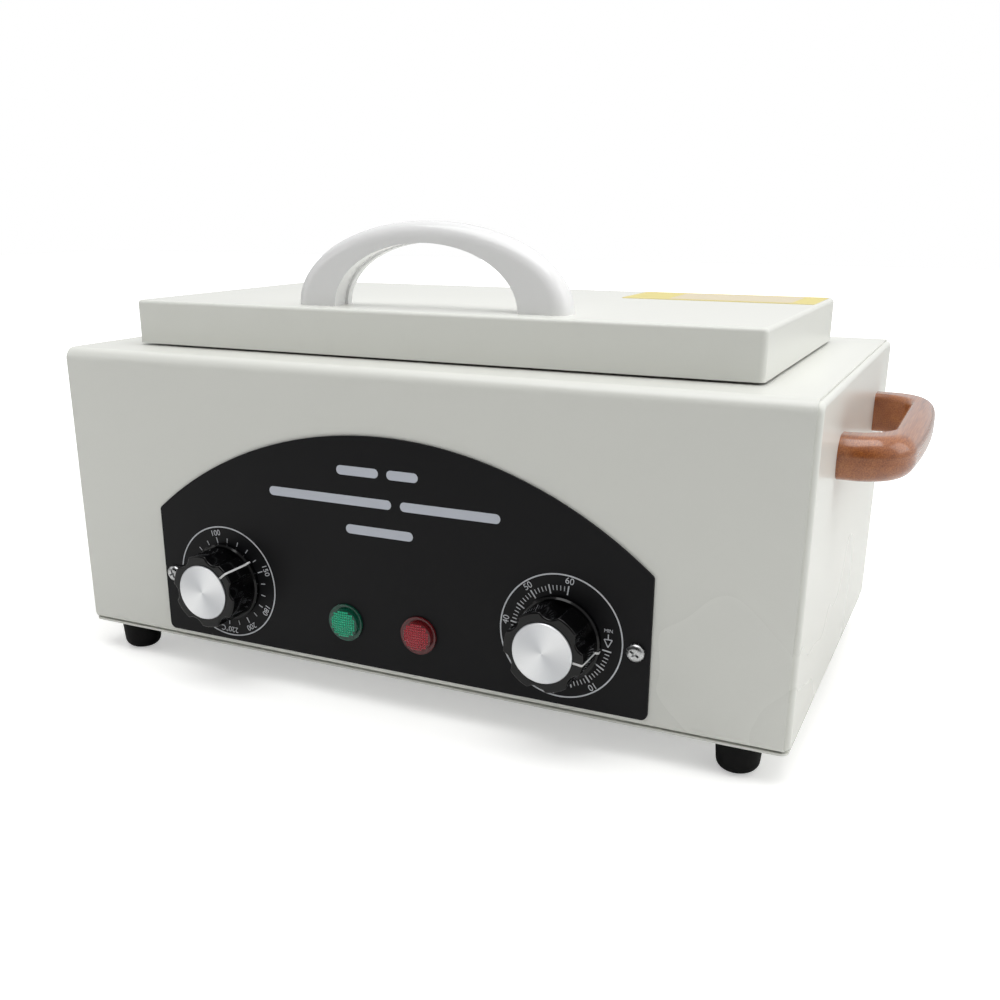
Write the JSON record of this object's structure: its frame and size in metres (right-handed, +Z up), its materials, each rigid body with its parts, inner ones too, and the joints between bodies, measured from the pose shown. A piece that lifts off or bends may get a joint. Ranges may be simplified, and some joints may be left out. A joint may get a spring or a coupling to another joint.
{
  "type": "dry heat sterilizer",
  "caption": "Bench dry heat sterilizer: painted steel box with a hinged lid over a heated tank and tray, two dials, signal lamps, wooden side handles and rubber feet",
  "frame": {"origin": "middle of the whole outline, knobs, side handles and inlet included, on the bench under the feet", "axes": "+X to the right seen from the front, +Y to the back, +Z up; the control panel faces -Y"},
  "size_m": [0.42, 0.238, 0.2146],
  "materials": {
    "paint_ivory": "smooth semi-gloss powder coat",
    "panel_black": "satin black paint",
    "knob_black": "glossy moulded plastic",
    "knob_aluminium": "spun, fine rings",
    "screw_steel": "zinc plated",
    "lens_green": "moulded, waffle pattern",
    "lens_red": "moulded, waffle pattern",
    "moulded_black": "moulded",
    "handle_white": "glossy moulded plastic",
    "handle_wood": "orange-brown varnish",
    "label_yellow": "plain sticker",
    "foot_rubber": "moulded",
    "stainless": "brushed stainless",
    "galvanised": "zinc plated",
    "heater_steel": "darkened by heat",
    "mineral_wool": "pressed fibre",
    "seal_silicone": "moulded silicone",
    "copper": "drawn tube",
    "block_white": "moulded",
    "lead_grey": "silicone sleeve"
  },
  "bodies": {
    "housing_body": {"housing": "paint_ivory", "side_panel_left": "paint_ivory", "side_panel_right": "paint_ivory", "base_plate": "paint_ivory", "control_panel": "panel_black", "panel_screws": "screw_steel", "base_screws": "screw_steel", "foot_screws": "screw_steel", "hinge_screws": "screw_steel", "side_handle_screws": "screw_steel", "inlet_screws": "screw_steel", "panel_nuts": "screw_steel", "control_nuts": "screw_steel", "lamp_clips": "screw_steel", "green_lamp_lens": "lens_green", "red_lamp_lens": "lens_red", "green_lamp_holder": "moulded_black", "red_lamp_holder": "moulded_black", "power_inlet": "moulded_black", "timer_body": "moulded_black", "side_handle_left": "handle_wood", "side_handle_right": "handle_wood", "foot_front_left": "foot_rubber", "foot_front_right": "foot_rubber", "foot_back_left": "foot_rubber", "foot_back_right": "foot_rubber", "inner_tank": "stainless", "instrument_tray": "stainless", "tray_loop_left": "stainless", "tray_loop_right": "stainless", "hinge_fixed_leaf_left": "stainless", "hinge_fixed_leaf_right": "stainless", "hinge_pin_left": "stainless", "hinge_pin_right": "stainless", "heat_shield": "galvanised", "heater_brackets": "galvanised", "thermostat_body": "galvanised", "inlet_pins": "galvanised", "heating_element": "heater_steel", "insulation_blanket": "mineral_wool", "sensor_capillary": "copper", "earth_post": "copper", "terminal_block": "block_white", "wiring_loom": "lead_grey"},
    "lid": {"lid_shell": "paint_ivory", "lid_liner": "stainless", "lid_seal": "seal_silicone", "lid_insulation": "mineral_wool", "lid_handle": "handle_white", "lid_handle_screws": "screw_steel", "lid_label": "label_yellow", "hinge_lid_leaf_left": "stainless", "hinge_lid_leaf_right": "stainless", "lid_hinge_screws": "screw_steel"},
    "temperature_dial": {"temperature_knob": "knob_black", "temperature_knob_cap": "knob_aluminium", "thermostat_shaft": "galvanised"},
    "timer_dial": {"timer_knob": "knob_black", "timer_knob_cap": "knob_aluminium", "timer_shaft": "galvanised"}
  },
  "joints": [
    {"name": "lid_hinge", "type": "hinge", "parent": "housing_body", "child": "lid", "pos_m": [0, 0.0906, 0.1591], "axis": [-1, 0, 0], "range_deg": [0, 100]},
    {"name": "temperature_turn", "type": "hinge", "parent": "housing_body", "child": "temperature_dial", "pos_m": [-0.0886, -0.0995, 0.0493], "axis": [0, 1, 0], "range_deg": [-145, 147]},
    {"name": "timer_turn", "type": "hinge", "parent": "housing_body", "child": "timer_dial", "pos_m": [0.0826, -0.0995, 0.0493], "axis": [0, 1, 0], "range_deg": [0, 270]}
  ]
}
